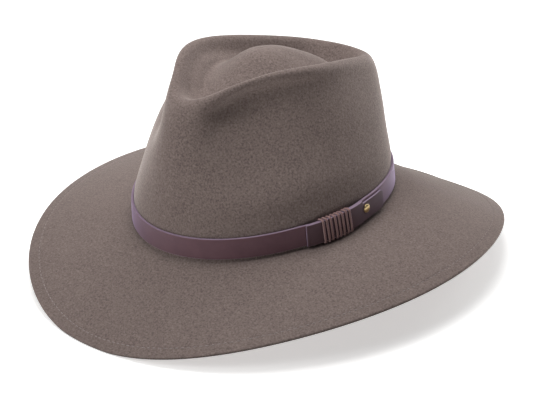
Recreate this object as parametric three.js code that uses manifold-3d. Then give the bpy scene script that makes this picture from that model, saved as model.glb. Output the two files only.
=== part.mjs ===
// A soft felt hat with a leather band, in millimetres, +Z up. It rests on the plane z = 0, on the two dips
// of its brim. The wearer's front faces -Y and the wearer's left faces +X. An angle round the hat is 0 at
// the front, a quarter turn at the wearer's left and half a turn at the back.
import * as THREE from 'three';
import Module from 'manifold-3d';

// Felt
const feltWall = 2.2;
const brimWidth = 79;
const brimNarrowerAtEnds = 1.6;
const brimCamber = 1.4;

// How far the felt puffs out over the strap, from the sides to the back. The rows beside it are drawn in.
const feltOverBand = 1.2;
const puffFrom = 0.2;
const puffOver = 0.9;
const puffAtBandTop = -0.25;

// Band: the oval is the strap's outer face at its lower edge. The crown's foot leans in by footLean over
// the strap's width.
const ovalHalfLength = 102;
const ovalHalfWidth = 92;
const strapWidth = 14.8;
const strapThickness = 1.8;
const strapAboveBrim = 2;
const footLean = 0.8;
const gap = 0.3;

// Heights round the hat, each a mean and then waves with 1, 2, 3 and 4 crests to the turn
const strapFootHeight = [47.6, -5.4, -1.8];
const brimEdgeHeight = [18.1, -0.6, -15, 0.6, -2.1];

// Crest of the crown from the front centre round the wearer's left to the back centre, at equal angles.
// shoulder is how far the side wall stands out beyond the crest.
const crest = [
  { x: 0, y: -73, z: 142, shoulder: 14 },
  { x: 18, y: -65, z: 146.5, shoulder: 7.5 },
  { x: 28.5, y: -51, z: 153, shoulder: 4 },
  { x: 46.5, y: -26.5, z: 160.5, shoulder: 8.5 },
  { x: 55.5, y: 6, z: 157, shoulder: 10 },
  { x: 45, y: 47.5, z: 147.5, shoulder: 9 },
  { x: 37, y: 78, z: 139, shoulder: 8.5 },
  { x: 22, y: 90.5, z: 135.5, shoulder: 8 },
  { x: 0, y: 95, z: 135.5, shoulder: 4 },
];
const shoulderDrop = 9;
const wallBulge = 0.8;
const lip = { outShare: 0.35, rise: 1.5, inward: 4 };

// Crease inside the crest: a groove, shallower in front, round a dome that is lower in front and slopes
// down to the back
const groove = { scale: 0.73, depth: 13.5, deeperAtBack: 5.5, sag: 2, sideAt: 0.55 };
const dome = { y: 10, z: 158.5, slope: -0.17 };
const domeRings = [
  { scale: 0.68, drop: 14.5, lowerInFront: 17 },
  { scale: 0.38, drop: 5.5, lowerInFront: 8 },
  { scale: 0.2, drop: 1, lowerInFront: 2 },
];

// The wall as hands have shaped it. On the wearer's left are a crease under the crest, a wide hollow below
// it and a swell over the band, whose depth is negative; on the other side is one soft pinch. angle is
// where each is deepest, and front and back are its reach in degrees. below is how far under the crest it
// lies there, rise how much nearer the crest it comes over riseOver degrees, and above and under are its
// reach up and down the wall.
const pinches = [
  { side: 1, angle: 33, depth: 9, below: 14, rise: 2, front: 11, back: 60, above: 6.5, under: 16 },
  { side: 1, angle: 58, depth: 10, below: 33, rise: 0, front: 30, back: 36, above: 22, under: 32 },
  { side: 1, angle: 60, depth: -6, below: 88, rise: 0, front: 40, back: 34, above: 20, under: 14 },
  { side: -1, angle: 40, depth: 9, below: 17, rise: 0, front: 16, back: 48, above: 10, under: 19 },
];
const riseOver = 30;

// Rows between which the pinches fade in over the band and out at the crest
const pinchedRows = { from: 11, full: 12.5, fading: 15.2, to: 16.5 };

// Leather over the strap, as angles in degrees, and the thong wound round both
const tongueThickness = 1.4;
const tongueFront = 65;
const tongueShoulder = 92.4;
const tongueEnd = 107.8;
const tongueCorner = 3.8;
const tongueWide = { low: -0.3, high: 15.1 };
const tongueNarrow = { low: 0.1, high: 13.3 };
const shoulderStep = 0.6;
const stepClear = 1;
const leatherBevel = 0.4;
const thongWidth = 1.6;
const thongThickness = 1.1;
const thongFlat = 0.5;
const thongCorner = 1.2;
const thongFront = 72.2;
const thongBack = 84.8;
const thongTurns = 8;
const liftRamp = 10;
const liftLead = 1.2;
const studAngle = 94.4;
const studAboveMiddle = 2;
const studRadius = 3.2;
const studRim = 0.35;
const studDome = 1.6;
const shankRadius = 1;
const shankShort = 0.1;
const studSides = 20;
const holeSides = 12;

// Rows of the felt between its brim's edge and the dome, as shares of the way
const brimRows = [
  { along: 0.06, camber: 0.25 },
  { along: 0.25, camber: 0.8 },
  { along: 0.5, camber: 1 },
  { along: 0.75, camber: 0.7 },
  { along: 0.94, camber: 0.2 },
  { along: 0.975, camber: 0.05 },
];
const bandRows = [0.12, 0.5, 1];
const wallFoot = 1.28;
const wallRows = [
  { along: 0.28, bulge: 0.8, puffed: -0.35 },
  { along: 0.56, bulge: 1, puffed: 0 },
  { along: 0.82, bulge: 0.5, puffed: 0 },
];
const domeTopRow = 23;

// Rings of the felt's mesh, as places between its rows: close together where the felt bends most
const feltRings = [
  0, 0.25, 0.45, 1, 2, 3, 4, 5, 5.7, 6.3, 6.7, 7, 7.3, 7.7, 8.4, 9.2, 10.1, 11, 11.8, 12.6, 13.4, 14.1,
  14.6, 15, 15.35, 15.7, 16.1, 16.5, 16.9, 17.4, 18, 18.6, 19.2, 19.8, 20.5, 21.3, 22.1,
];

// Columns of the felt's mesh, closer together in front, where the crown is pinched
const feltColumns = 60;
const closerInFront = 0.35;
const feltAngles = Array.from({ length: feltColumns }, (_, column) => {
  const turn = (column / feltColumns) * 2 * Math.PI;
  return turn - closerInFront * Math.sin(turn);
});

// Finer steps of the angle, in degrees, where the tongue and the thong lie on the strap
const fineStep = 2.5;
const fineFront = 55;
const fineBack = 115;
const fineAngles = [];
for (let angle = fineFront; angle <= fineBack; angle += fineStep) {
  fineAngles.push(angle);
}

const degree = Math.PI / 180;
const halfTurn = Math.PI;

const mix = (a, b, f) => a.clone().lerp(b, f);
const raised = (p, height) => new THREE.Vector3(p.x, p.y, p.z + height);
const wave = (terms, angle) => terms.reduce((sum, term, k) => sum + term * Math.cos(k * angle), 0);
const smooth = (x) => THREE.MathUtils.smoothstep(x, 0, 1);

// A smooth hump with its own reach below and above its peak
const bell = (x, below, above) => Math.exp(-((x / (x > 0 ? above : below)) ** 2));

// The four weights of a uniform cubic B-spline at u from 0 to 1
function splineWeights(u) {
  const v = 1 - u;
  return [v ** 3, 3 * u ** 3 - 6 * u ** 2 + 4, 3 * v ** 3 - 6 * v ** 2 + 4, u ** 3].map((w) => w / 6);
}

// One column of the crest's table at any angle. The other side mirrors it, with x of the other sign.
function crestValue(column, angle) {
  const last = crest.length - 1;
  const place = THREE.MathUtils.euclideanModulo((angle / halfTurn) * last, 2 * last);
  const first = Math.floor(place);
  const weights = splineWeights(place - first);
  return weights.reduce((sum, weight, k) => {
    const index = THREE.MathUtils.euclideanModulo(first + k - 1, 2 * last);
    const mirrored = index > last;
    const value = crest[mirrored ? 2 * last - index : index][column];
    return sum + weight * (mirrored && column === 'x' ? -value : value);
  }, 0);
}

const crestPoint = (angle) =>
  new THREE.Vector3(crestValue('x', angle), crestValue('y', angle), crestValue('z', angle));
const ovalPoint = (angle) =>
  new THREE.Vector3(ovalHalfWidth * Math.sin(angle), -ovalHalfLength * Math.cos(angle), 0);

// Level direction that points out of a closed curve
function outward(curve, angle) {
  const step = 0.001;
  const along = curve(angle + step).sub(curve(angle - step));
  return new THREE.Vector3(along.y, -along.x, 0).normalize();
}

// A point of the crown's foot, at a height above the strap's lower edge, moved out of the felt
function bandPoint(angle, height, out) {
  const beyond = out - gap - strapThickness - (footLean * height) / strapWidth;
  const p = ovalPoint(angle).addScaledVector(outward(ovalPoint, angle), beyond);
  return raised(p, wave(strapFootHeight, angle) + height);
}

// The rows of control points of the felt's outer face at one angle, from the brim's edge to the dome's top
function feltControls(angle) {
  const out = outward(ovalPoint, angle);
  const width = brimWidth - brimNarrowerAtEnds * Math.cos(2 * angle);
  const edge = ovalPoint(angle).addScaledVector(out, width);
  edge.z = wave(brimEdgeHeight, angle);
  const foot = bandPoint(angle, -strapAboveBrim, 0);
  const sag = -brimCamber * Math.cos(2 * angle);
  const brim = brimRows.map(({ along, camber }) => raised(mix(edge, foot, along), sag * camber));

  const puff = feltOverBand * smooth((puffFrom - Math.cos(angle)) / puffOver);
  const bandTop = bandPoint(angle, strapWidth, puff * puffAtBandTop);
  const band = bandRows.map((along) => mix(foot, bandTop, along));
  const wallStart = bandPoint(angle, strapWidth * wallFoot, 0);
  const overBand = wallStart.clone().addScaledVector(out, puff);

  const ridge = crestPoint(angle);
  const ridgeOut = outward(crestPoint, angle);
  const beside = (distance, height) => raised(ridge.clone().addScaledVector(ridgeOut, distance), height);
  const shoulderWidth = crestValue('shoulder', angle);
  const shoulder = beside(shoulderWidth, -shoulderDrop);
  const wall = wallRows.map(({ along, bulge, puffed }) =>
    mix(wallStart, shoulder, along).addScaledVector(out, wallBulge * bulge + puff * puffed),
  );
  const lipOut = beside(lip.outShare * shoulderWidth, lip.rise);
  const lipIn = beside(-lip.inward, 0);

  const inside = (scale, z) => new THREE.Vector3(ridge.x * scale, dome.y + (ridge.y - dome.y) * scale, z);
  const grooveDepth = groove.depth - groove.deeperAtBack * Math.cos(angle);
  const grooveFloor = inside(groove.scale, ridge.z - grooveDepth);
  const grooveSide = raised(mix(ridge, grooveFloor, groove.sideAt), -groove.sag);
  const frontward = (0.5 + 0.5 * Math.cos(angle)) ** 2;
  const domeSides = domeRings.map(({ scale, drop, lowerInFront }) => {
    const sloped = dome.z + dome.slope * (ridge.y - dome.y) * scale;
    return inside(scale, sloped - drop - lowerInFront * frontward);
  });
  const domeTop = new THREE.Vector3(0, dome.y, dome.z);

  const outside = [edge, ...brim, foot, ...band, overBand, ...wall, shoulder, lipOut, lipIn];
  return [...outside, grooveSide, grooveFloor, ...domeSides, domeTop];
}

// How far the wall is pushed in at a point, given its angle, its row and its height
function pinchDepth(angle, row, z) {
  const { from, full, fading, to } = pinchedRows;
  const onWall = smooth((row - from) / (full - from)) * smooth((to - row) / (to - fading));
  const belowCrest = crestValue('z', angle) - z;
  const depths = pinches.map((pinch) => {
    const turned = (pinch.side * angle) / degree - pinch.angle;
    const turn = THREE.MathUtils.euclideanModulo(turned + 180, 360) - 180;
    const middle = pinch.below - pinch.rise * smooth(turn / riseOver);
    const upright = bell(belowCrest - middle, pinch.above, pinch.under);
    return pinch.depth * upright * bell(turn, pinch.front, pinch.back);
  });
  return onWall * depths.reduce((sum, depth) => sum + depth, 0);
}

// A column of points of the felt's outer face: a cubic B-spline through the rows of control points
function feltColumn(angle, rows) {
  const controls = feltControls(angle);
  const beyondEdge = controls[0].clone().multiplyScalar(2).sub(controls[1]);
  const acrossTop = feltControls(angle + halfTurn)[domeTopRow - 1];
  const net = [beyondEdge, ...controls, acrossTop];
  const ridgeOut = outward(crestPoint, angle);
  return rows.map((row) => {
    const first = Math.min(Math.floor(row), domeTopRow - 1);
    const point = new THREE.Vector3();
    splineWeights(row - first).forEach((weight, k) => point.addScaledVector(net[first + k], weight));
    return point.addScaledVector(ridgeOut, -pinchDepth(angle, row, point.z));
  });
}

// Turns a closed mesh the right way out, by the sign of its volume
function closedBody(points, triangles) {
  const geometry = new THREE.BufferGeometry();
  const volume = triangles.reduce((sum, [a, b, c]) => {
    const cross = new THREE.Vector3().crossVectors(points[b], points[c]);
    return sum + points[a].dot(cross);
  }, 0);
  const facing = volume > 0 ? triangles : triangles.map(([a, b, c]) => [a, c, b]);
  geometry.setAttribute('position', new THREE.Float32BufferAttribute(points.flatMap((p) => p.toArray()), 3));
  geometry.setIndex(facing.flat());
  geometry.computeVertexNormals();
  return geometry;
}

// Skins a row of sections with equal numbers of points, with flat ends unless the row closes on itself
function loft(sections, closed) {
  const count = sections[0].length;
  const triangles = [];
  const spans = closed ? sections.length : sections.length - 1;
  for (let s = 0; s < spans; s += 1) {
    const next = (s + 1) % sections.length;
    for (let k = 0; k < count; k += 1) {
      const a = s * count + k;
      const b = s * count + ((k + 1) % count);
      const c = next * count + ((k + 1) % count);
      const d = next * count + k;
      triangles.push([a, b, c], [a, c, d]);
    }
  }
  if (!closed) {
    const end = (sections.length - 1) * count;
    for (let k = 1; k < count - 1; k += 1) {
      triangles.push([0, k + 1, k], [end, end + k, end + k + 1]);
    }
  }
  return closedBody(sections.flat(), triangles);
}

// Crown and brim: one wall of felt. Both faces are lifted where the lower one would pass the table.
function feltBody() {
  const rings = feltRings.length;
  const outer = feltAngles.flatMap((angle) => feltColumn(angle, feltRings));
  outer.push(...feltColumn(0, [domeTopRow]));
  const top = outer.length - 1;
  const at = (column, ring) => (column % feltColumns) * rings + ring;

  const face = [];
  for (let column = 0; column < feltColumns; column += 1) {
    for (let ring = 0; ring < rings - 1; ring += 1) {
      const [a, b] = [at(column, ring), at(column + 1, ring)];
      face.push([a, b, b + 1], [a, b + 1, a + 1]);
    }
    face.push([at(column, rings - 1), at(column + 1, rings - 1), top]);
  }

  const skin = new THREE.BufferGeometry().setFromPoints(outer);
  skin.setIndex(face.flat());
  skin.computeVertexNormals();
  const normals = skin.getAttribute('normal');
  const inner = outer.map((p, i) =>
    p.clone().addScaledVector(new THREE.Vector3().fromBufferAttribute(normals, i), -feltWall),
  );
  inner.forEach((p, i) => {
    const lift = Math.max(0, -p.z);
    p.z += lift;
    outer[i].z += lift;
  });

  const shift = outer.length;
  const underside = face.map(([a, b, c]) => [a + shift, c + shift, b + shift]);
  const edge = [];
  for (let column = 0; column < feltColumns; column += 1) {
    const [a, b] = [at(column, 0), at(column + 1, 0)];
    edge.push([a + shift, b + shift, b], [a + shift, b, a]);
  }
  return closedBody([...outer, ...inner], [...face, ...underside, ...edge]);
}

// How far the strap stands off the felt, to let the thong pass behind it
const thongRoom = gap + thongThickness;
function strapLift(angle) {
  const ramp = liftRamp * degree;
  const rise = (angle - thongFront * degree) / ramp + liftLead;
  const fall = (thongBack * degree - angle) / ramp + liftLead;
  return thongRoom * smooth(rise) * smooth(fall);
}

// A flat piece of leather across the band, from an inner to an outer distance, with its outer edges bevelled
function leatherSection(angle, inner, thickness, low, high) {
  const bevel = Math.min(leatherBevel, (high - low) / 4);
  const outer = inner + thickness;
  return [
    [inner, low],
    [outer - bevel, low],
    [outer, low + bevel],
    [outer, high - bevel],
    [outer - bevel, high],
    [inner, high],
  ].map(([out, height]) => bandPoint(angle, height, out));
}

const strapInner = (angle) => gap + strapLift(angle);
const tongueInner = (angle) => strapInner(angle) + strapThickness + gap;

function strapRing() {
  const coarse = feltAngles.map((angle) => angle / degree);
  const angles = [
    ...coarse.filter((angle) => angle < fineFront),
    ...fineAngles,
    ...coarse.filter((angle) => angle > fineBack),
  ];
  return loft(
    angles.map((angle) =>
      leatherSection(angle * degree, strapInner(angle * degree), strapThickness, 0, strapWidth),
    ),
    true,
  );
}

// The tongue: a wide part under the thong, then a step down to a narrow part with two round corners
function tonguePlate() {
  const middle = (tongueNarrow.low + tongueNarrow.high) / 2;
  const half = (tongueNarrow.high - tongueNarrow.low) / 2;
  const cornerAngle = tongueCorner / (ovalHalfLength * degree);
  const straightEnd = tongueEnd - cornerAngle;
  const narrowStart = tongueShoulder + shoulderStep;
  const between = (from, to) =>
    fineAngles.filter((angle) => angle > from + stepClear && angle < to - stepClear);
  const wide = [tongueFront, ...between(tongueFront, tongueShoulder), tongueShoulder];
  const narrow = [narrowStart, ...between(narrowStart, straightEnd)];
  const round = [90, 70, 50, 32, 18, 7].map((turn) => {
    const angle = straightEnd + cornerAngle * Math.cos(turn * degree);
    const reach = half - tongueCorner + tongueCorner * Math.sin(turn * degree);
    return { angle, low: middle - reach, high: middle + reach };
  });
  const sections = [
    ...wide.map((angle) => ({ angle, ...tongueWide })),
    ...narrow.map((angle) => ({ angle, ...tongueNarrow })),
    ...round,
  ];
  return loft(
    sections.map(({ angle, low, high }) =>
      leatherSection(angle * degree, tongueInner(angle * degree), tongueThickness, low, high),
    ),
    false,
  );
}

// The thong: a flattened cord along a helix round the strap and the tongue
function thongWinding() {
  const half = thongThickness / 2;
  const middleAngle = ((thongFront + thongBack) / 2) * degree;
  const beside = gap + half - thongCorner;
  const inner = gap + half + thongCorner;
  const outer = tongueInner(middleAngle) + tongueThickness + beside;
  const corners = [
    { out: inner, height: strapWidth + beside, from: 180 },
    { out: outer, height: tongueWide.high + beside, from: 90 },
    { out: outer, height: tongueWide.low - beside, from: 0 },
    { out: inner, height: -beside, from: -90 },
  ];
  const loop = corners.flatMap(({ out, height, from }) =>
    [0, 45, 90].map((turn) => {
      const cos = Math.cos((from - turn) * degree);
      const sin = Math.sin((from - turn) * degree);
      return { out: out + thongCorner * cos, height: height + thongCorner * sin, cos, sin };
    }),
  );
  const outline = [
    { across: -1, thick: 0 },
    { across: -thongFlat, thick: 1 },
    { across: thongFlat, thick: 1 },
    { across: 1, thick: 0 },
    { across: thongFlat, thick: -1 },
    { across: -thongFlat, thick: -1 },
  ];
  const pitch = (thongBack - thongFront) / (thongTurns - 1);
  const sections = Array.from({ length: thongTurns * loop.length }, (_, step) => {
    const { out, height, cos, sin } = loop[step % loop.length];
    const angle = (thongFront + pitch * (step / loop.length - 0.5)) * degree;
    const facing = outward(ovalPoint, angle);
    const along = new THREE.Vector3(-facing.y, facing.x, 0);
    return outline.map(({ across, thick }) => {
      const point = bandPoint(angle, height + half * thick * sin, out + half * thick * cos);
      return point.addScaledVector(along, (thongWidth / 2) * across);
    });
  });
  return loft(sections, false);
}

// The stud: a domed head over a plain shank through the tongue and the strap
const studHeight = (tongueNarrow.low + tongueNarrow.high) / 2 + studAboveMiddle;
const studOut = tongueInner(studAngle * degree) + tongueThickness + gap;
const studSeat = bandPoint(studAngle * degree, studHeight, studOut);
const studFacing = outward(ovalPoint, studAngle * degree);
const shankLength = gap + tongueThickness + gap + strapThickness - shankShort;

function brassStud() {
  const shank = [[0, -shankLength], [shankRadius, -shankLength], [shankRadius, 0], [studRadius, 0]];
  const head = [0, 22, 45, 68].map((turn) => [
    studRadius * Math.cos(turn * degree),
    studRim + (studDome - studRim) * Math.sin(turn * degree),
  ]);
  const profile = [...shank, ...head, [0, studDome]].map(([r, y]) => new THREE.Vector2(r, y));
  const geometry = new THREE.LatheGeometry(profile, studSides);
  geometry.applyQuaternion(new THREE.Quaternion().setFromUnitVectors(new THREE.Vector3(0, 1, 0), studFacing));
  return geometry;
}

// Cuts the shank's hole through a piece of leather
const wasm = await Module();
wasm.setup();
function withShankHole(geometry) {
  const solid = (g) => {
    const vertProperties = new Float32Array(g.getAttribute('position').array);
    const triVerts = new Uint32Array(g.index.array);
    return new wasm.Manifold(new wasm.Mesh({ numProp: 3, vertProperties, triVerts }));
  };
  const reach = shankLength + gap;
  const across = new THREE.Vector3(-studFacing.y, studFacing.x, 0);
  const ring = (distance) =>
    Array.from({ length: holeSides }, (_, k) => {
      const turn = (k / holeSides) * 2 * halfTurn;
      const centre = studSeat.clone().addScaledVector(studFacing, distance);
      const sideways = centre.addScaledVector(across, (shankRadius + gap) * Math.cos(turn));
      return raised(sideways, (shankRadius + gap) * Math.sin(turn));
    });
  const hole = solid(loft([ring(-reach), ring(reach)], false));
  const mesh = solid(geometry).subtract(hole).getMesh();
  const cut = new THREE.BufferGeometry();
  cut.setAttribute('position', new THREE.BufferAttribute(new Float32Array(mesh.vertProperties), 3));
  cut.setIndex(Array.from(mesh.triVerts));
  cut.computeVertexNormals();
  return cut;
}

function piece(name, geometry, color, roughness, metalness = 0) {
  const mesh = new THREE.Mesh(geometry, new THREE.MeshStandardMaterial({ color, roughness, metalness }));
  mesh.name = name;
  return mesh;
}

const stud = piece('brass_stud', brassStud(), 0xb08d4f, 0.3, 1);
stud.position.copy(studSeat);

const hat = new THREE.Group();
hat.add(
  piece('felt_body', feltBody(), 0x766b66, 0.95),
  piece('band_strap', withShankHole(strapRing()), 0x4b363b, 0.45),
  piece('band_tongue', withShankHole(tonguePlate()), 0x402f35, 0.5),
  piece('thong_winding', thongWinding(), 0x7d5f5c, 0.6),
  stud,
);

export default hat;
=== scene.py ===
import bpy
import numpy as np
from mathutils import Matrix, Vector


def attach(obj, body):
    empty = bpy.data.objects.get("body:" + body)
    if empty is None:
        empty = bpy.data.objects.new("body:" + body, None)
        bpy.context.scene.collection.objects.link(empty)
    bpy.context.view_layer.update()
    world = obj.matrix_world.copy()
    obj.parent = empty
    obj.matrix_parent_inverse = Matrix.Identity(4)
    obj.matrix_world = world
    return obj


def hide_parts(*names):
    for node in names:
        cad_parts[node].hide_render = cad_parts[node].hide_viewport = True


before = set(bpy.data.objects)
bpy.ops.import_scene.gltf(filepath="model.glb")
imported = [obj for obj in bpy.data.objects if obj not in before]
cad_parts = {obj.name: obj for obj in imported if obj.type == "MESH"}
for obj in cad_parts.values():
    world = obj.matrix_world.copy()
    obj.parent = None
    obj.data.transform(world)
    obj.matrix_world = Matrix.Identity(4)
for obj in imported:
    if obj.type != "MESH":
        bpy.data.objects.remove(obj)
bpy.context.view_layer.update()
mm = 0.001
up = np.array([0.0, 0.0, 1.0])

# Crown and brim: one hood of wool felt, steamed and pulled over a block, so crown and brim are a single
# wall without a seam. The crown is creased into a teardrop round a low dome and pinched on both sides
# by hand, the brim is curved up at the sides, and its raw edge is cut and lightly sanded round.
felt_wall = 2.2
oval_half_length, oval_half_width = 102, 92
strap_width, strap_thickness, strap_above_brim = 14.8, 1.8, 2
foot_lean = 0.8
gap = 0.3
strap_foot_height = (47.6, -5.4, -1.8)
brim_width, brim_narrower_at_ends, brim_camber = 79, 1.6, 1.4
brim_edge_height = (18.1, -0.6, -15, 0.6, -2.1)
brim_rows = {"along": (0.06, 0.25, 0.5, 0.75, 0.94, 0.975), "camber": (0.25, 0.8, 1, 0.7, 0.2, 0.05)}
band_rows = (0.12, 0.5, 1)

# From the sides to the back the felt puffs out over the strap, and the rows beside that are drawn in.
felt_over_band, puff_from, puff_over, puff_at_band_top = 1.2, 0.2, 0.9, -0.25
wall_foot = 1.28
wall_rows = {"along": (0.28, 0.56, 0.82), "bulge": (0.64, 0.8, 0.4), "puffed": (-0.35, 0, 0)}

# The crest from the front centre round the wearer's left to the back centre, at equal angles. shoulder is how
# far the side wall stands out below it. Inside it are a groove and a dome that is lower in front.
crest = {
    "x": (0, 18, 28.5, 46.5, 55.5, 45, 37, 22, 0),
    "y": (-73, -65, -51, -26.5, 6, 47.5, 78, 90.5, 95),
    "z": (142, 146.5, 153, 160.5, 157, 147.5, 139, 135.5, 135.5),
    "shoulder": (14, 7.5, 4, 8.5, 10, 9, 8.5, 8, 4),
}
shoulder_drop = 9
lip_out_share, lip_rise, lip_inward = 0.35, 1.5, 4
groove_scale, groove_depth, groove_deeper_at_back = 0.73, 13.5, 5.5
groove_side_at, groove_side_sag = 0.55, 2
dome_y, dome_z, dome_slope = 10, 158.5, -0.17
dome_rings = {"scale": (0.68, 0.38, 0.2), "drop": (14.5, 5.5, 1), "lower_in_front": (17, 8, 2)}

# The wall as hands have shaped it: a crease under the crest, a wide hollow below it and a swell over the
# band on the wearer's left, and one soft pinch on the other side.
pinches = {
    "side": (1, 1, 1, -1),
    "angle": (33, 58, 60, 40),
    "depth": (9, 10, -6, 9),
    "below": (14, 33, 88, 17),
    "rise": (2, 0, 0, 0),
    "front": (11, 30, 40, 16),
    "back": (60, 36, 34, 48),
    "above": (6.5, 22, 20, 10),
    "under": (16, 32, 14, 19),
}
rise_over = 30
pinched_from, pinched_to = 11, 16.5
pinch_fades_in, pinch_fades_out = 1.5, 1.3


def spline_weights(u):
    """The four weights of a uniform cubic B-spline at u from 0 to 1, last axis over the weights."""
    v = 1 - u
    return np.stack([v**3, 3 * u**3 - 6 * u**2 + 4, 3 * v**3 - 6 * v**2 + 4, u**3], -1) / 6


def wave(terms, angle):
    """A mean and then cosines with 1, 2, 3 and 4 crests to the turn."""
    return sum(term * np.cos(k * angle) for k, term in enumerate(terms))


def mix(a, b, share):
    """The place at a share of the straight way from a to b."""
    return a + (b - a) * share


def smooth(x):
    """0 below 0, 1 above 1, and an S-curve between."""
    x = np.clip(x, 0, 1)
    return x * x * (3 - 2 * x)


def bell(x, below, above):
    """A smooth hump of height 1 with its own reach on each side of its peak."""
    return np.exp(-((x / np.where(x > 0, above, below)) ** 2))


def crest_value(column, angle):
    """The crest's table at any angle: its half is mirrored into a loop, and four neighbours are summed with
    the B-spline's weights."""
    half = np.array(crest[column], float)
    mirrored = half[-2:0:-1] * (-1 if column == "x" else 1)
    loop = np.concatenate([half, mirrored])
    place = angle / (2 * np.pi) * len(loop)
    first = np.floor(place).astype(int)
    index = (first[..., None] + np.arange(-1, 3)) % len(loop)
    return (spline_weights(place - first) * loop[index]).sum(-1)


def crest_point(angle):
    """The crest's line: x, y and z, each from its column."""
    return np.stack([crest_value(column, angle) for column in "xyz"], -1)


def oval_point(angle):
    """The oval of the strap's outer face, level, at z = 0: half width times sine, minus half length times
    cosine."""
    return np.stack([oval_half_width * np.sin(angle), -oval_half_length * np.cos(angle), 0 * angle], -1)


def outward(curve, angle):
    """The level direction that points out of a closed curve: its tangent turned a quarter."""
    along = curve(angle + 0.001) - curve(angle - 0.001)
    out = np.stack([along[..., 1], -along[..., 0], 0 * angle], -1)
    return out / np.linalg.norm(out, axis=-1, keepdims=True)


def band_point(angle, height, out):
    """A point at a height above the strap's lower edge and a distance out of the crown's foot, which leans in
    by foot_lean over the strap's width."""
    beyond = out - gap - strap_thickness - foot_lean * height / strap_width
    level = oval_point(angle) + outward(oval_point, angle) * np.asarray(beyond)[..., None]
    return level + up * (wave(strap_foot_height, angle) + height)[..., None]


def inside_crest(ridge, scale, z):
    """The crest's ring shrunk toward the dome's middle, at a height."""
    return np.stack([ridge[..., 0] * scale, mix(dome_y, ridge[..., 1], scale), z], -1)


def felt_net(angle):
    """Control points of the felt's outer face, 24 rows from the brim's edge over the crest to the dome's top.
    Brim and wall are shares of a straight way, with camber, bulge and puff added; the rings inside the crest
    are the crest's ring shrunk and lowered."""
    out = outward(oval_point, angle)
    edge = oval_point(angle) + out * (brim_width - brim_narrower_at_ends * np.cos(2 * angle))[..., None]
    edge[..., 2] = wave(brim_edge_height, angle)
    foot = band_point(angle, -strap_above_brim, 0)
    sag = up * (-brim_camber * np.cos(2 * angle))[..., None]
    brim = [mix(edge, foot, along) + sag * camber for along, camber in zip(*brim_rows.values())]

    puff = out * (felt_over_band * smooth((puff_from - np.cos(angle)) / puff_over))[..., None]
    band_top = band_point(angle, strap_width, 0) + puff * puff_at_band_top
    band = [mix(foot, band_top, along) for along in band_rows]
    wall_start = band_point(angle, strap_width * wall_foot, 0)
    ridge = crest_point(angle)
    ridge_out = outward(crest_point, angle)
    shoulder_out = ridge_out * crest_value("shoulder", angle)[..., None]
    shoulder = ridge + shoulder_out - up * shoulder_drop
    wall = [
        mix(wall_start, shoulder, along) + out * bulge + puff * puffed
        for along, bulge, puffed in zip(*wall_rows.values())
    ]
    lip_outer = ridge + shoulder_out * lip_out_share + up * lip_rise
    lip_inner = ridge - ridge_out * lip_inward

    floor_z = ridge[..., 2] - groove_depth + groove_deeper_at_back * np.cos(angle)
    groove_floor = inside_crest(ridge, groove_scale, floor_z)
    groove_side = mix(ridge, groove_floor, groove_side_at) - up * groove_side_sag
    frontward = (0.5 + 0.5 * np.cos(angle)) ** 2
    dome = []
    for scale, drop, lower in zip(*dome_rings.values()):
        sloped = dome_z + dome_slope * (ridge[..., 1] - dome_y) * scale
        dome.append(inside_crest(ridge, scale, sloped - drop - lower * frontward))
    top = np.broadcast_to([0.0, dome_y, dome_z], ridge.shape)
    crown = [*band, wall_start + puff, *wall, shoulder, lip_outer, lip_inner, groove_side, groove_floor]
    return np.stack([edge, *brim, foot, *crown, *dome, top])


def felt_face(angle, row):
    """The outer face at angles and rows: a cubic B-spline down the net's rows, smooth over the dome's top,
    then pushed in by the sum of the pinches, each its depth times a hump along the angle and one down the
    wall."""
    net = felt_net(angle)
    top = len(net) - 1
    net = np.concatenate([2 * net[:1] - net[1:2], net, felt_net(angle + np.pi)[top - 1:top]])
    first = np.minimum(np.floor(row).astype(int), top - 1)
    weights = spline_weights(row - first)
    points = sum(weights[:, k, None, None] * net[first + k] for k in range(4))

    row = row[:, None]
    on_wall = smooth((row - pinched_from) / pinch_fades_in) * smooth((pinched_to - row) / pinch_fades_out)
    below_crest = crest_value("z", angle) - points[..., 2]
    depth = 0
    for values in zip(*pinches.values()):
        pinch = dict(zip(pinches, values))
        turn = (np.degrees(pinch["side"] * angle) - pinch["angle"] + 180) % 360 - 180
        middle = pinch["below"] - pinch["rise"] * smooth(turn / rise_over)
        upright = bell(below_crest - middle, pinch["above"], pinch["under"])
        depth = depth + pinch["depth"] * upright * bell(turn, pinch["front"], pinch["back"])
    return points - outward(crest_point, angle) * (depth * on_wall)[..., None]


def felt_normal(angle, row):
    """Unit normal of the outer face: the cross product of a step along the angle and one along the rows."""
    step = 0.01
    across = felt_face(angle + step, row) - felt_face(angle - step, row)
    upward = felt_face(angle, row + step) - felt_face(angle, row - step)
    normal = np.cross(across, upward)
    return normal / np.linalg.norm(normal, axis=-1, keepdims=True)


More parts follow.
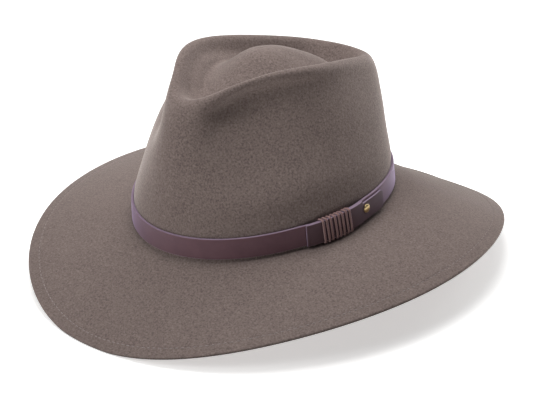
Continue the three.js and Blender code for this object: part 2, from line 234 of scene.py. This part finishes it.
def skin(name, rings, poles=None, marks=None):
    """A closed mesh through a stack of rings, each a closed loop of points in millimetres. The stack ends in
    a fan round a pole at each end, or closes on itself where poles is None. marks are numbers for each point.
    Where the volume, summed over the quads, is below 0, all faces are turned round."""
    stack, around = rings.shape[:2]
    points = rings.reshape(-1, 3)
    ring = np.arange(around)
    turned = (ring + 1) % around
    here = np.arange(stack if poles is None else stack - 1)[:, None] * around
    there = (here + around) % (stack * around)
    quads = np.stack([here + ring, here + turned, there + turned, there + ring], -1).reshape(-1, 4)
    faces = quads.tolist()
    if poles is not None:
        end = (stack - 1) * around
        first, last = len(points), len(points) + 1
        points = np.concatenate([points, poles])
        faces += np.stack([turned, ring, np.full(around, first)], -1).tolist()
        faces += np.stack([ring + end, turned + end, np.full(around, last)], -1).tolist()
    a, b, c, d = (points[quads[:, k]] for k in range(4))
    volume = (np.cross(b - a, d - b) * (a + c)).sum()
    if volume < 0:
        faces = [face[::-1] for face in faces]
    mesh = bpy.data.meshes.new(name)
    mesh.from_pydata((points * mm).tolist(), [], faces)
    mesh.polygons.foreach_set("use_smooth", np.ones(len(faces), bool))
    for mark, values in (marks or {}).items():
        shares = values.ravel()
        if poles is not None:
            shares = np.append(shares, values[[0, -1]].mean(-1))
        mesh.attributes.new(mark, "FLOAT", "POINT").data.foreach_set("value", shares)
    piece = bpy.data.objects.new(name, mesh)
    bpy.context.scene.collection.objects.link(piece)
    return piece


felt_around = 320
edge_row, last_row, top_row, row_step = 0.14, 22.9, 22.999, 0.125
stitch_row, stitch_row_step = 1.14, 0.03
channel_depth, channel_reach = 0.15, 0.08
edge_bulge, edge_fullness = 0.8, 0.7
shade_until, shade_fades_over = 150, 60
felt_angles = np.arange(felt_around) / felt_around * 2 * np.pi
near_stitches = stitch_row + np.arange(-5, 6) * stitch_row_step
felt_rows = np.unique(np.concatenate([np.arange(edge_row, last_row, row_step), near_stitches]))
face_points = felt_face(felt_angles, felt_rows)
face_normals = felt_normal(felt_angles, felt_rows)
channel = channel_depth * bell(felt_rows - stitch_row, channel_reach, channel_reach)[:, None, None]
outer_rings = face_points - face_normals * channel
inner_rings = face_points - face_normals * (felt_wall - channel)
lift = np.maximum(0, -inner_rings[..., 2])
outer_rings[..., 2] += lift
inner_rings[..., 2] += lift

edge_out = face_points[0] - face_points[1]
edge_out /= np.linalg.norm(edge_out, axis=-1, keepdims=True)
edge_middle = (outer_rings[0] + inner_rings[0]) / 2
edge_turn = np.radians([22, 45, 68, 90, 112, 135, 158])[:, None, None]
edge_rings = edge_middle - face_normals[0] * felt_wall / 2 * np.cos(edge_turn)
edge_rings = edge_rings + edge_out * edge_bulge * np.sin(edge_turn) ** edge_fullness
edge_rings[..., 2] = np.maximum(edge_rings[..., 2], 0)

dome_top = np.array([0.0, dome_y, felt_face(np.zeros(1), np.array([top_row]))[0, 0, 2]])
inner_rings = inner_rings[::-2]
felt_rings = np.concatenate([inner_rings, edge_rings, outer_rings])
# Painted shade on the brim's cut edge: the rings of its lower, down-facing half get a share that darkens the
# felt's colour there, fading out toward the upper half.
edge_shade_share = np.zeros(felt_rings.shape[:2])
edge_share = smooth((shade_until - np.degrees(edge_turn[..., 0])) / shade_fades_over)
edge_shade_share[len(inner_rings):len(inner_rings) + len(edge_rings)] = edge_share
felt = skin(
    "felt_crown_and_brim",
    felt_rings,
    poles=np.array([dome_top - up * felt_wall, dome_top]),
    marks={"cut_edge": edge_shade_share},
)


def linear(colour):
    """An sRGB hex colour as linear numbers: each channel has the sRGB curve undone."""
    channels = np.array([int(colour[k:k + 2], 16) for k in (1, 3, 5)]) / 255
    curved = ((channels + 0.055) / 1.055) ** 2.4
    return (*np.where(channels > 0.04045, curved, channels / 12.92).tolist(), 1.0)


def add_node(tree, kind, inputs, **settings):
    """Adds one node. Each input is a number, a colour or another node's output, which is linked to it."""
    node = tree.nodes.new(kind)
    for name, value in settings.items():
        setattr(node, name, value)
    for name, value in inputs.items():
        if isinstance(value, bpy.types.NodeSocket):
            tree.links.new(value, node.inputs[name])
        else:
            node.inputs[name].default_value = value
    return node


def new_material(name):
    """An empty material: its tree, its shader and the object's own coordinates in metres."""
    material = bpy.data.materials.new(name)
    material.use_nodes = True
    tree = material.node_tree
    coordinates = add_node(tree, "ShaderNodeTexCoord", {}).outputs["Object"]
    return material, tree, tree.nodes["Principled BSDF"], coordinates


# Wool felt with a short brushed nap: crossed fibres give a fine heather of lighter and darker flecks, no
# gloss, and a pale bloom where the surface turns away. The real flecks are about 0.3 mm across; they are
# drawn coarser, to show. The nap lies unevenly in clouds. The brim's cut edge has painted shade: its lower,
# down-facing half is painted darker.
fleck_size = 1.25
cloud_size = 14
nap_depth = 0.4
felt_wool, tree, shader, place = new_material("brushed_wool_felt")
flecks = add_node(
    tree,
    "ShaderNodeTexNoise",
    {"Vector": place, "Scale": 1 / (fleck_size * mm), "Detail": 2, "Roughness": 0.55, "Distortion": 0.5},
)
clouds = add_node(
    tree,
    "ShaderNodeTexNoise",
    {"Vector": place, "Scale": 1 / (cloud_size * mm), "Detail": 3, "Roughness": 0.55},
)
fleck_share = add_node(
    tree,
    "ShaderNodeMapRange",
    {"Value": flecks.outputs["Fac"], "From Min": 0.3, "From Max": 0.7},
)
ground = add_node(
    tree,
    "ShaderNodeMix",
    {"Factor": fleck_share.outputs["Result"], "A": linear("#5c504d"), "B": linear("#837570")},
    data_type="RGBA",
)
cloud_share = add_node(
    tree,
    "ShaderNodeMapRange",
    {"Value": clouds.outputs["Fac"], "From Min": 0.3, "From Max": 0.7, "To Max": 0.12},
)
felted = add_node(
    tree,
    "ShaderNodeMix",
    {"Factor": cloud_share.outputs["Result"], "A": ground.outputs["Result"], "B": linear("#8a7d76")},
    data_type="RGBA",
)
# Painted shade: the felt's colour is darkened where the cut_edge share marks the lower half of the brim's
# edge.
cut_edge = add_node(tree, "ShaderNodeAttribute", {}, attribute_name="cut_edge")
edge_shaded = add_node(
    tree,
    "ShaderNodeMix",
    {"Factor": cut_edge.outputs["Fac"], "A": felted.outputs["Result"], "B": linear("#3f3634")},
    data_type="RGBA",
)
tree.links.new(edge_shaded.outputs["Result"], shader.inputs["Base Color"])
nap = add_node(
    tree,
    "ShaderNodeBump",
    {"Height": flecks.outputs["Fac"], "Strength": 0.5, "Distance": nap_depth * mm},
)
tree.links.new(nap.outputs["Normal"], shader.inputs["Normal"])
shader.inputs["Roughness"].default_value = 0.95
shader.inputs["Specular IOR Level"].default_value = 0.15
shader.inputs["Sheen Weight"].default_value = 0.8
shader.inputs["Sheen Roughness"].default_value = 0.35
shader.inputs["Sheen Tint"].default_value = linear("#e7dcd6")
felt.data.materials.append(felt_wool)
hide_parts("felt_body")
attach(felt, "root")

# Brim stitching: one row of lockstitch 9 mm in from the brim's edge, in fine cotton thread a little paler
# than the felt. It shows on both faces, each stitch sunk a little way into the felt.
stitch_count, stitch_share = 252, 0.74
thread_radius, thread_taper = 0.34, 0.8
thread_rise, end_dip = 0.1, 0.35
thread_sections, thread_sides = 5, 6


def stitches(side):
    """Rings of every stitch on one face: a thread that thins and dips into the felt with the square of the
    way to its ends."""
    along = np.linspace(-1, 1, thread_sections)
    middle = np.arange(stitch_count)[:, None] * 2 * np.pi / stitch_count
    angle = (middle + along * np.pi / stitch_count * stitch_share).ravel()
    seat = felt_face(angle, np.array([stitch_row]))[0]
    normal = felt_normal(angle, np.array([stitch_row]))[0]
    inner = seat - normal * felt_wall
    lifted = np.maximum(0, -inner[:, 2])[:, None] * up
    level = channel_depth if side > 0 else felt_wall - channel_depth
    face = seat - normal * level + lifted
    across = felt_face(angle, np.array([stitch_row + 0.02]))[0] - seat
    across /= np.linalg.norm(across, axis=-1, keepdims=True)
    thin = np.tile(np.sqrt(1 - thread_taper * along**2), stitch_count)[:, None, None]
    dip = np.tile(thread_rise - end_dip * along**2, stitch_count)[:, None, None]
    turn = (np.arange(thread_sides) / thread_sides * 2 * np.pi)[:, None]
    round_thread = thread_radius * thin * (across[:, None] * np.cos(turn) + normal[:, None] * np.sin(turn))
    return face[:, None] + side * dip * normal[:, None] + round_thread


thread_points = np.concatenate([stitches(1), stitches(-1)]).reshape(-1, 3)
stitch_points = thread_sections * thread_sides
ring = np.arange(thread_sides)
turned = (ring + 1) % thread_sides
here = np.arange(thread_sections - 1)[:, None] * thread_sides
there = here + thread_sides
walls = np.stack([here + ring, here + turned, there + turned, there + ring], -1).reshape(-1, 4)
cap = np.array([[0, 1, 2, 3], [0, 3, 4, 5]])
one_stitch = np.concatenate([walls, thread_sides - 1 - cap, stitch_points - thread_sides + cap])
shifts = np.arange(0, len(thread_points), stitch_points)[:, None, None]
thread_faces = (one_stitch + shifts).reshape(-1, 4)
stitch_mesh = bpy.data.meshes.new("brim_edge_stitching")
stitch_mesh.from_pydata((thread_points * mm).tolist(), [], thread_faces.tolist())
stitch_mesh.polygons.foreach_set("use_smooth", np.ones(len(thread_faces), bool))
stitching = bpy.data.objects.new("brim_edge_stitching", stitch_mesh)
bpy.context.scene.collection.objects.link(stitching)

ply_size = 0.4
cotton, tree, shader, place = new_material("matt_cotton_thread")
ply = add_node(tree, "ShaderNodeTexNoise", {"Vector": place, "Scale": 1 / (ply_size * mm), "Detail": 2})
strands = add_node(
    tree,
    "ShaderNodeMix",
    {"Factor": ply.outputs["Fac"], "A": linear("#7b706d"), "B": linear("#a69a97")},
    data_type="RGBA",
)
tree.links.new(strands.outputs["Result"], shader.inputs["Base Color"])
shader.inputs["Roughness"].default_value = 0.8
stitching.data.materials.append(cotton)
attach(stitching, "root")

# Band strap: a ring of plum-brown vegetable-tanned leather round the crown's foot, cut 15 mm wide, with
# both edges bevelled and burnished. It stands off the felt where the thong passes behind it.
thong_thickness = 1.1
thong_front, thong_back = np.radians([72.2, 84.8])
lift_ramp, lift_lead = np.radians(10), 1.2
strap_around = 720
strap_bevel, flesh_side_bevel_share = 0.55, 0.4
bevel_points = 6


def strap_lift(angle):
    """How far the strap stands off the felt: the thong's room, eased in and out over the ramp's angle."""
    eased_in = smooth((angle - thong_front) / lift_ramp + lift_lead)
    return (gap + thong_thickness) * eased_in * smooth((thong_back - angle) / lift_ramp + lift_lead)


def leather_outline(thickness, low, high, bevel):
    """Sections of a strap: rectangles whose four corners are quarter circles, one for each thickness, low and
    high. Gives each point's distance out, its height, and how far it belongs to a cut edge."""
    quarter = np.linspace(0, 90, bevel_points)
    turn = np.radians(np.concatenate([quarter + start for start in (0, 90, 180, 270)]))
    is_out = np.repeat([1, 0, 0, 1], bevel_points)
    is_high = np.repeat([1, 1, 0, 0], bevel_points)
    radius = bevel * np.where(is_out, 1, flesh_side_bevel_share)
    thickness, low, high = (np.asarray(size)[:, None] for size in (thickness, low, high))
    middle_out = np.where(is_out, thickness - radius, radius)
    middle_high = np.where(is_high, high - radius, low + radius)
    cut = np.abs(np.sin(turn)) + 0 * low
    return middle_out + radius * np.cos(turn), middle_high + radius * np.sin(turn), cut


strap_angles = np.arange(strap_around) / strap_around * 2 * np.pi
strap_inner = gap + strap_lift(strap_angles)
level_foot = np.zeros(strap_around)
out, height, cut = leather_outline(
    level_foot + strap_thickness,
    level_foot,
    level_foot + strap_width,
    strap_bevel,
)
strap_rings = band_point(strap_angles[:, None] + 0 * out, height, strap_inner[:, None] + out)
strap = skin("band_leather_strap", strap_rings, marks={"cut_edge": cut})


# The grain's pebbles are really about 0.3 mm across; they are drawn coarser, to show.
pebble_size = 0.67
pebble_depth = 0.1
dye_patch_size = 9


def leather(name, deep, warm, edge, roughness, bloom):
    """Vegetable-tanned leather: a fine pebbled grain, slow changes of depth in the dye, paler edges and a
    satin finish that picks up a cool bloom. The dye's noise mixes deep and warm, and the cut edge's share
    mixes that
    with edge: a paler colour that is partly the burnished edge and partly a painted highlight where the edge
    catches the light."""
    material, tree, shader, place = new_material(name)
    grain = add_node(
        tree,
        "ShaderNodeTexVoronoi",
        {"Vector": place, "Scale": 1 / (pebble_size * mm), "Randomness": 0.9},
    )
    dye = add_node(
        tree,
        "ShaderNodeTexNoise",
        {"Vector": place, "Scale": 1 / (dye_patch_size * mm), "Detail": 4, "Roughness": 0.6},
    )
    dyed = add_node(
        tree,
        "ShaderNodeMix",
        {"Factor": dye.outputs["Fac"], "A": linear(deep), "B": linear(warm)},
        data_type="RGBA",
    )
    cut_edge = add_node(tree, "ShaderNodeAttribute", {}, attribute_name="cut_edge")
    edge_share = add_node(
        tree,
        "ShaderNodeMapRange",
        {"Value": cut_edge.outputs["Fac"], "From Min": 0.35, "From Max": 0.9, "To Max": 0.85},
    )
    # Painted highlight: the paler edge colour stands partly for light caught along the bevelled cut edges.
    edge_highlit = add_node(
        tree,
        "ShaderNodeMix",
        {"Factor": edge_share.outputs["Result"], "A": dyed.outputs["Result"], "B": linear(edge)},
        data_type="RGBA",
    )
    tree.links.new(edge_highlit.outputs["Result"], shader.inputs["Base Color"])
    pebbles = add_node(
        tree,
        "ShaderNodeBump",
        {"Height": grain.outputs["Distance"], "Strength": 0.12, "Distance": pebble_depth * mm},
    )
    tree.links.new(pebbles.outputs["Normal"], shader.inputs["Normal"])
    shader.inputs["Roughness"].default_value = roughness
    shader.inputs["Specular Tint"].default_value = linear("#d8cce6")
    shader.inputs["Sheen Weight"].default_value = bloom
    shader.inputs["Sheen Roughness"].default_value = 0.4
    shader.inputs["Sheen Tint"].default_value = linear("#cdbbe0")
    return material


strap.data.materials.append(leather("plum_bridle_leather", "#503638", "#654648", "#8b788a", 0.5, 1))
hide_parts("band_strap")
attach(strap, "root")

# Tongue: a second, darker strap end laid on the band. Its front end is cut square, it steps down to a narrow
# part behind the thong, and the corners of its far end are rounded. The thong and the stud hold it down.
tongue_thickness = 1.4
tongue_front, tongue_shoulder, tongue_end = np.radians([65, 92.4, 107.8])
tongue_corner, tongue_bevel = 3.8, 0.45
wide_low, wide_high = -0.3, 15.1
narrow_low, narrow_high = 0.1, 13.3
shoulder_step = 0.6
end_bevel, end_thickness_share = 0.5, 0.72
after_bevel, before_shoulder, after_shoulder, before_corner = 0.012, 0.003, 0.009, 0.002


def tongue_inner(angle):
    """Distance of the tongue's back from the felt: the strap's own, its thickness, and a gap on each side."""
    return gap + strap_lift(angle) + strap_thickness + gap


end_length = tongue_corner / oval_half_length
end_turn = np.radians(np.linspace(0, 88, 20))
straight_end = tongue_end - end_length
tongue_angles = np.concatenate(
    [
        tongue_front + end_bevel * np.array([0, 0.16, 0.5, 1]) / oval_half_length,
        np.linspace(tongue_front + after_bevel, tongue_shoulder - before_shoulder, 60),
        tongue_shoulder + shoulder_step * np.linspace(0, 1, 5) / oval_half_length,
        np.linspace(tongue_shoulder + after_shoulder, straight_end - before_corner, 20),
        straight_end + end_length * np.sin(end_turn),
    ]
)
front_round = np.sqrt(np.clip((tongue_angles - tongue_front) * oval_half_length / end_bevel, 0, 1))
step_down = smooth((tongue_angles - tongue_shoulder) * oval_half_length / shoulder_step)
end_round = np.sqrt(np.clip((tongue_end - tongue_angles) * oval_half_length / end_bevel, 0, 1))
into_corner = np.clip((tongue_angles - straight_end) / end_length, 0, 1)
corner_cut = tongue_corner * (1 - np.sqrt(1 - into_corner**2))
tongue_low = mix(wide_low, narrow_low, step_down) + corner_cut
tongue_high = mix(wide_high, narrow_high, step_down) - corner_cut
rim_thickness = tongue_thickness * mix(end_thickness_share, 1, np.minimum(front_round, end_round))
out, height, cut = leather_outline(rim_thickness, tongue_low, tongue_high, tongue_bevel)
tongue_out = tongue_inner(tongue_angles)[:, None] + out
tongue_rings = band_point(tongue_angles[:, None] + 0 * out, height, tongue_out)
end_cut = np.maximum(1 - front_round, 1 - end_round)[:, None]
tongue = skin(
    "band_leather_tongue",
    tongue_rings,
    poles=np.array([tongue_rings[0].mean(0), tongue_rings[-1].mean(0)]),
    marks={"cut_edge": np.maximum(cut, end_cut)},
)
tongue.data.materials.append(leather("dark_bridle_leather", "#412c2c", "#513a39", "#8b788a", 0.5, 0.35))
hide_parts("band_tongue")
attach(tongue, "root")

# Thong: a flat lace of pinkish brown leather, 1.6 mm wide, wound eight times round strap and tongue. Its
# ends are tucked in behind the strap, and its turns lie side by side with a dark gap between them.
thong_width, thong_turns, thong_corner = 1.6, 8, 1.2
lace_steps, lace_around, lace_fullness = 72, 14, 0.8
uneven_turns, uneven_lay = 0.0016, 0.0008
corner_points = 9


def thong_path(turns):
    """Where the lace is after a number of turns: a rectangle with quarter circles for corners, walked at an
    even pace. Gives distance out, height, and the direction that the lace's outer face looks in."""
    half = thong_thickness / 2
    beside = gap + half - thong_corner
    near = gap + half + thong_corner
    far = tongue_inner((thong_front + thong_back) / 2) + tongue_thickness + beside
    turn = np.radians(np.linspace(0, 90, corner_points))
    faces = np.concatenate([start - turn for start in np.radians([180, 90, 0, -90])])
    middle_out = np.repeat([near, far, far, near], corner_points)
    heights = [strap_width + beside, wide_high + beside, wide_low - beside, -beside]
    middle_high = np.repeat(heights, corner_points)
    out = np.append(middle_out + thong_corner * np.cos(faces), near - thong_corner)
    height = np.append(middle_high + thong_corner * np.sin(faces), strap_width + beside)
    faces = np.append(faces, -np.pi)
    walked = np.append(0, np.cumsum(np.hypot(np.diff(out), np.diff(height))))
    place = (turns % 1) * walked[-1]
    return [np.interp(place, walked, values) for values in (out, height, faces)]


def flattened(size, share):
    """One side of a section between a circle and a rectangle: half the size times the share's power."""
    return np.sign(share) * np.abs(share) ** lace_fullness * size / 2


lace = np.linspace(0, thong_turns, thong_turns * lace_steps)
lace_out, lace_height, lace_face = thong_path(lace)
lace_pitch = (thong_back - thong_front) / (thong_turns - 1)
lace_angle = thong_front + lace_pitch * (lace - 0.5) + uneven_turns * np.sin(2.1 * np.floor(lace) + 1)
lace_angle = lace_angle + uneven_lay * np.sin(lace * 9.7)
section_turn = np.arange(lace_around) / lace_around * 2 * np.pi
section_across = flattened(thong_width, np.cos(section_turn))
section_out = flattened(thong_thickness, np.sin(section_turn))
lace_middle = band_point(lace_angle, lace_height, lace_out)
facing = outward(oval_point, lace_angle)
along = np.stack([-facing[:, 1], facing[:, 0], 0 * lace], -1)
lace_normal = facing * np.cos(lace_face)[:, None] + up * np.sin(lace_face)[:, None]
lace_rings = (
    lace_middle[:, None]
    + along[:, None] * section_across[:, None]
    + lace_normal[:, None] * section_out[:, None]
)
lace_cut = np.tile(np.abs(np.cos(section_turn)) ** 1.5, (len(lace), 1))
thong = skin(
    "leather_thong_winding",
    lace_rings,
    poles=np.array([lace_rings[0].mean(0), lace_rings[-1].mean(0)]),
    marks={"cut_edge": lace_cut},
)
thong.data.materials.append(leather("natural_lace_leather", "#785b55", "#906f68", "#b3958f", 0.55, 0.6))
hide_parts("thong_winding")
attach(thong, "root")

# Stud: a small solid brass button with a low domed head, pressed through the tongue and the strap. The head
# is polished, and its rim is rolled and slightly worn.
stud_angle = np.radians([94.4])
stud_radius, stud_dome, stud_above_middle = 3.2, 1.6, 2
shank_radius, shank_short, neck_rise = 1, 0.1, 0.05
rim_radius, rim_under, dome_turned = 0.45, -60, 86
head_points, stud_around = 22, 48
shank_length = gap + tongue_thickness + gap + strap_thickness - shank_short
stud_height = np.array([(narrow_low + narrow_high) / 2 + stud_above_middle])
stud_seat = band_point(stud_angle, stud_height, tongue_inner(stud_angle) + tongue_thickness + gap)[0]
stud_out = outward(oval_point, stud_angle)[0]
stud_side = np.array([-stud_out[1], stud_out[0], 0.0])
head_turn = np.radians(np.linspace(rim_under, dome_turned, head_points))
below_rim = head_turn < 0
under_rim = stud_radius - rim_radius * (1 - np.cos(head_turn))
head_radius = np.where(below_rim, under_rim, stud_radius * np.cos(head_turn))
head_rise = rim_radius + np.where(below_rim, rim_radius, stud_dome - rim_radius) * np.sin(head_turn)
profile_radius = np.concatenate([[shank_radius] * 3, head_radius])
profile_rise = np.concatenate([[-shank_length, -shank_length / 2, neck_rise], head_rise])
stud_turn = np.arange(stud_around) / stud_around * 2 * np.pi
spokes = stud_side * np.cos(stud_turn)[:, None] + up * np.sin(stud_turn)[:, None]
stud_rings = stud_seat + profile_radius[:, None, None] * spokes + profile_rise[:, None, None] * stud_out
stud = skin(
    "brass_button_stud",
    stud_rings,
    poles=np.array([stud_seat - shank_length * stud_out, stud_seat + stud_dome * stud_out]),
)

wear_size = 1.1
brass, tree, shader, place = new_material("polished_brass")
tarnish = add_node(tree, "ShaderNodeTexNoise", {"Vector": place, "Scale": 1 / (wear_size * mm), "Detail": 4})
tone = add_node(
    tree,
    "ShaderNodeMix",
    {"Factor": tarnish.outputs["Fac"], "A": linear("#b39767"), "B": linear("#e2cc9c")},
    data_type="RGBA",
)
polish = add_node(
    tree,
    "ShaderNodeMapRange",
    {"Value": tarnish.outputs["Fac"], "To Min": 0.22, "To Max": 0.38},
)
tree.links.new(tone.outputs["Result"], shader.inputs["Base Color"])
tree.links.new(polish.outputs["Result"], shader.inputs["Roughness"])
shader.inputs["Metallic"].default_value = 1
stud.data.materials.append(brass)
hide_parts("brass_stud")
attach(stud, "root")

# Floor: a plain white sheet, wide enough to fill the picture from every side. It glows a little, as a sheet
# lit from behind does, so that only a soft shadow is left under the brim.
floor_reach = 6
floor_corners = [(x * floor_reach, y * floor_reach, 0) for x, y in ((-1, -1), (1, -1), (1, 1), (-1, 1))]
floor_mesh = bpy.data.meshes.new("floor")
floor_mesh.from_pydata(floor_corners, [], [(0, 1, 2, 3)])
floor = bpy.data.objects.new("floor", floor_mesh)
bpy.context.scene.collection.objects.link(floor)
paper, _, shader, _ = new_material("pale_matt_paper")
shader.inputs["Base Color"].default_value = linear("#fafaf9")
shader.inputs["Roughness"].default_value = 0.9
shader.inputs["Emission Color"].default_value = linear("#ffffff")
shader.inputs["Emission Strength"].default_value = 0.5
floor.data.materials.append(paper)


# Light: five white soft boxes round the hat. One hangs close over the crown, the key stands high in front of
# the brim, two behind the hat light the far brim and the crest's rim, and a low one at the left lights the
# band. The room itself is almost dark.
hat_middle = Vector((0, 0, 0.08))


def soft_box(name, position, size, power):
    """A square area light that shines along the line from its place to the hat's middle."""
    light = bpy.data.lights.new(name, "AREA")
    light.size = size
    light.energy = power
    box = bpy.data.objects.new(name, light)
    box.location = position
    box.rotation_euler = (box.location - hat_middle).to_track_quat("Z", "Y").to_euler()
    bpy.context.scene.collection.objects.link(box)


soft_box("overhead", (-0.05, 0.05, 0.72), 0.5, 4.4)
soft_box("key", (-0.32, -1.3, 1.28), 1.0, 9.5)
soft_box("behind_high", (-0.33, 1.16, 1.42), 0.9, 5.3)
soft_box("behind_low", (0.12, 1.69, 0.7), 0.7, 7.9)
soft_box("left", (-0.95, -1.45, 0.36), 0.7, 4.4)
room = bpy.data.worlds.new("pale_room")
room.use_nodes = True
room.node_tree.nodes["Background"].inputs["Color"].default_value = linear("#f4f3f2")
room.node_tree.nodes["Background"].inputs["Strength"].default_value = 0.05
bpy.context.scene.world = room
bpy.context.scene.view_settings.view_transform = "Standard"

# Camera: a long lens, 1.23 m from the hat, that looks down 24 degrees from the wearer's front left as the
# photograph does. It is rolled by almost 4 degrees, and its place is moved along the picture's own axes.
azimuth, elevation, roll = np.radians([46.07, 24.36, -3.82])
distance, shift_right, shift_up = 1.2335, -0.00118, 0.03812
focal_pixels, picture_width, sensor_width = 1650.7, 533, 36
level_back = np.array([np.sin(azimuth), -np.cos(azimuth), 0.0])
back = level_back * np.cos(elevation) + up * np.sin(elevation)
level = np.array([np.cos(azimuth), np.sin(azimuth), 0.0])
above = np.cross(back, level)
right = np.cos(roll) * level + np.sin(roll) * above
upward = np.cos(roll) * above - np.sin(roll) * level
stand = back * distance + right * shift_right + upward * shift_up
lens = bpy.data.cameras.new("camera")
lens.sensor_width = sensor_width
lens.lens = focal_pixels / picture_width * sensor_width
camera = bpy.data.objects.new("camera", lens)
axes = np.column_stack([right, upward, back, stand])
camera.matrix_world = Matrix(np.vstack([axes, [0, 0, 0, 1]]).tolist())
bpy.context.scene.collection.objects.link(camera)
bpy.context.scene.camera = camera
